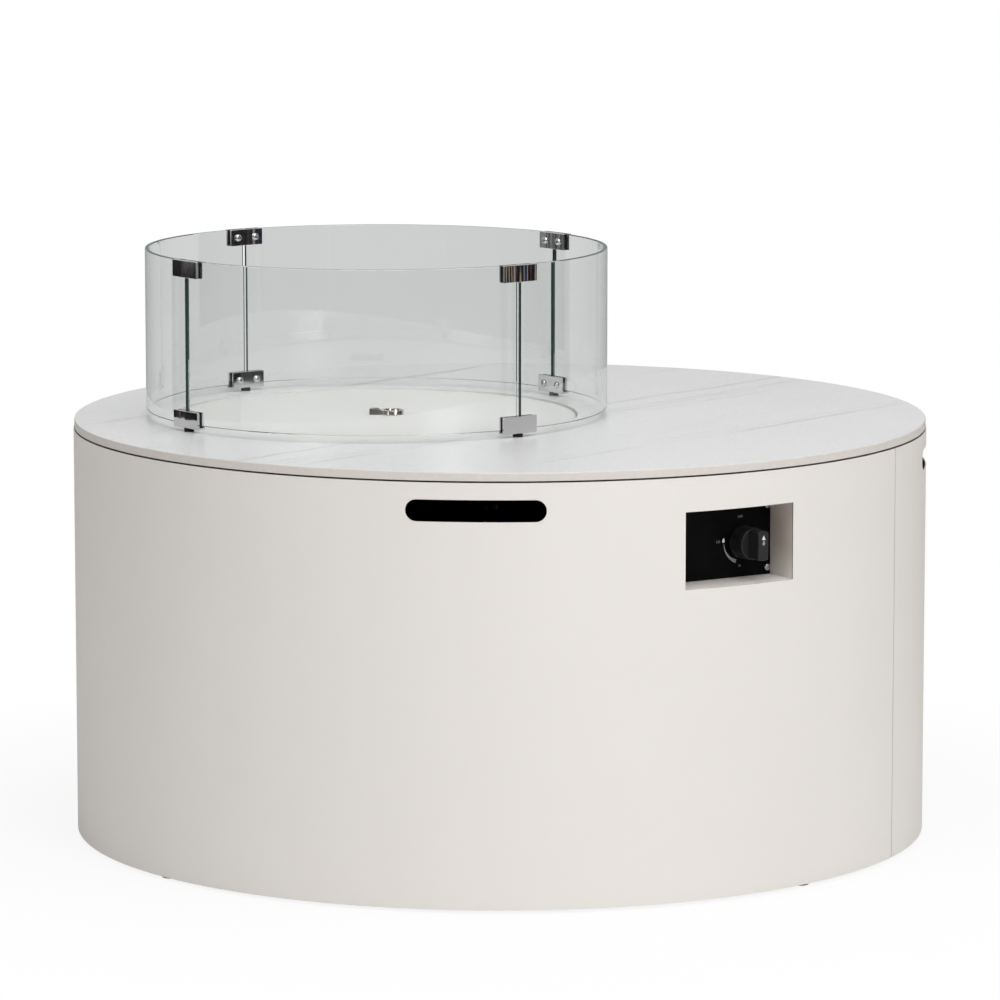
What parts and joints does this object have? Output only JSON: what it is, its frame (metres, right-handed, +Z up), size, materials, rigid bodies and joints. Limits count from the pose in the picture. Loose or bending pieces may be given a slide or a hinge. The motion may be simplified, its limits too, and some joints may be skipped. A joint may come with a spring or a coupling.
{
  "type": "gas fire pit table",
  "caption": "Round gas fire pit table with a painted body, access door, pale stone top, off-centre covered burner, glass wind guard and a recessed control knob.",
  "frame": {"origin": "on the floor under the middle of the round body", "axes": "+Z up, -Y towards the front hand slot, +X towards the access door"},
  "size_m": [1.067, 1.0669, 0.7313],
  "materials": {
    "body_paint": "satin off-white powder coat",
    "table_stone": "polished pale stone with faint grey veins",
    "frame_paint": "matt black powder coat",
    "burner_steel": "brushed stainless",
    "cast_alloy": "cast and drawn aluminium",
    "guard_glass": "clear tempered glass with green edges",
    "clip_chrome": "polished plate",
    "black_rubber": "black rubber",
    "knob_plastic": "black, fine texture",
    "gas_brass": "turned brass",
    "cover_paint": "warm off-white powder coat",
    "electrode_ceramic": "white insulator with a steel rod"
  },
  "bodies": {
    "base": {"front_panel": "body_paint", "rear_panel": "body_paint", "control_box": "body_paint", "base_ring": "frame_paint", "top_ring": "frame_paint", "base_plate": "frame_paint", "tank_collar": "frame_paint", "frame_posts": "frame_paint", "top_deck": "frame_paint", "levelling_feet": "black_rubber", "slab_pads": "black_rubber", "table_top": "table_stone", "burner_pan": "burner_steel", "burner_ring": "burner_steel", "igniter_bracket": "burner_steel", "flame_sensor": "burner_steel", "spark_electrode": "electrode_ceramic", "burner_locknut": "gas_brass", "mixer_tube": "cast_alloy", "gas_jet": "gas_brass", "supply_pipe": "cast_alloy", "pipe_nuts": "gas_brass", "gas_valve": "cast_alloy", "valve_nut": "gas_brass", "gas_inlet": "gas_brass", "piezo_igniter": "knob_plastic", "ignition_lead": "black_rubber", "sensor_lead": "gas_brass", "lead_clips": "knob_plastic", "control_panel": "knob_plastic", "panel_screws": "clip_chrome", "hinge_fixed_leaf": "burner_steel", "hinge_pin": "burner_steel", "catch_magnets": "knob_plastic"},
    "door": {"access_door": "body_paint", "hinge_door_leaf": "burner_steel", "catch_strikes": "burner_steel"},
    "valve_push": {"valve_plunger": "gas_brass"},
    "knob": {"valve_stem": "gas_brass", "control_knob": "knob_plastic"},
    "cover": {"burner_cover": "cover_paint", "pull_bracket": "clip_chrome", "pull_pin": "clip_chrome", "pull_screw": "clip_chrome"},
    "ring": {"pull_ring": "clip_chrome"},
    "guard": {"clip_liners": "black_rubber", "clip_screws": "clip_chrome", "guard_feet": "black_rubber", "glass_panel_1": "guard_glass", "upper_clip_1": "clip_chrome", "lower_clip_1": "clip_chrome", "glass_panel_2": "guard_glass", "upper_clip_2": "clip_chrome", "lower_clip_2": "clip_chrome", "glass_panel_3": "guard_glass", "upper_clip_3": "clip_chrome", "lower_clip_3": "clip_chrome", "glass_panel_4": "guard_glass", "upper_clip_4": "clip_chrome", "lower_clip_4": "clip_chrome"}
  },
  "joints": [
    {"name": "door_swing", "type": "hinge", "parent": "base", "child": "door", "pos_m": [0.48979, 0.2038, 0.476], "axis": [0, 0, 1], "range_deg": [0, 95]},
    {"name": "knob_push", "type": "slide", "parent": "base", "child": "valve_push", "axis": [-0.5786, 0.8156, 0], "range_m": [0, 0.004], "stiffness_N_per_m": 700},
    {"name": "knob_turn", "type": "hinge", "parent": "valve_push", "child": "knob", "pos_m": [0.30602, -0.37265, 0.419], "axis": [0.5786, -0.8156, 0], "range_deg": [0, 180]},
    {"name": "cover_lift", "type": "slide", "parent": "base", "child": "cover", "axis": [0, 0, 1], "range_m": [0, 0.3]},
    {"name": "ring_fold", "type": "hinge", "parent": "cover", "child": "ring", "pos_m": [-0.1548, 0, 0.5227], "axis": [0, -1, 0], "range_deg": [0, 95]},
    {"name": "guard_lift", "type": "slide", "parent": "base", "child": "guard", "axis": [0, 0, 1], "range_m": [0, 0.3]}
  ]
}
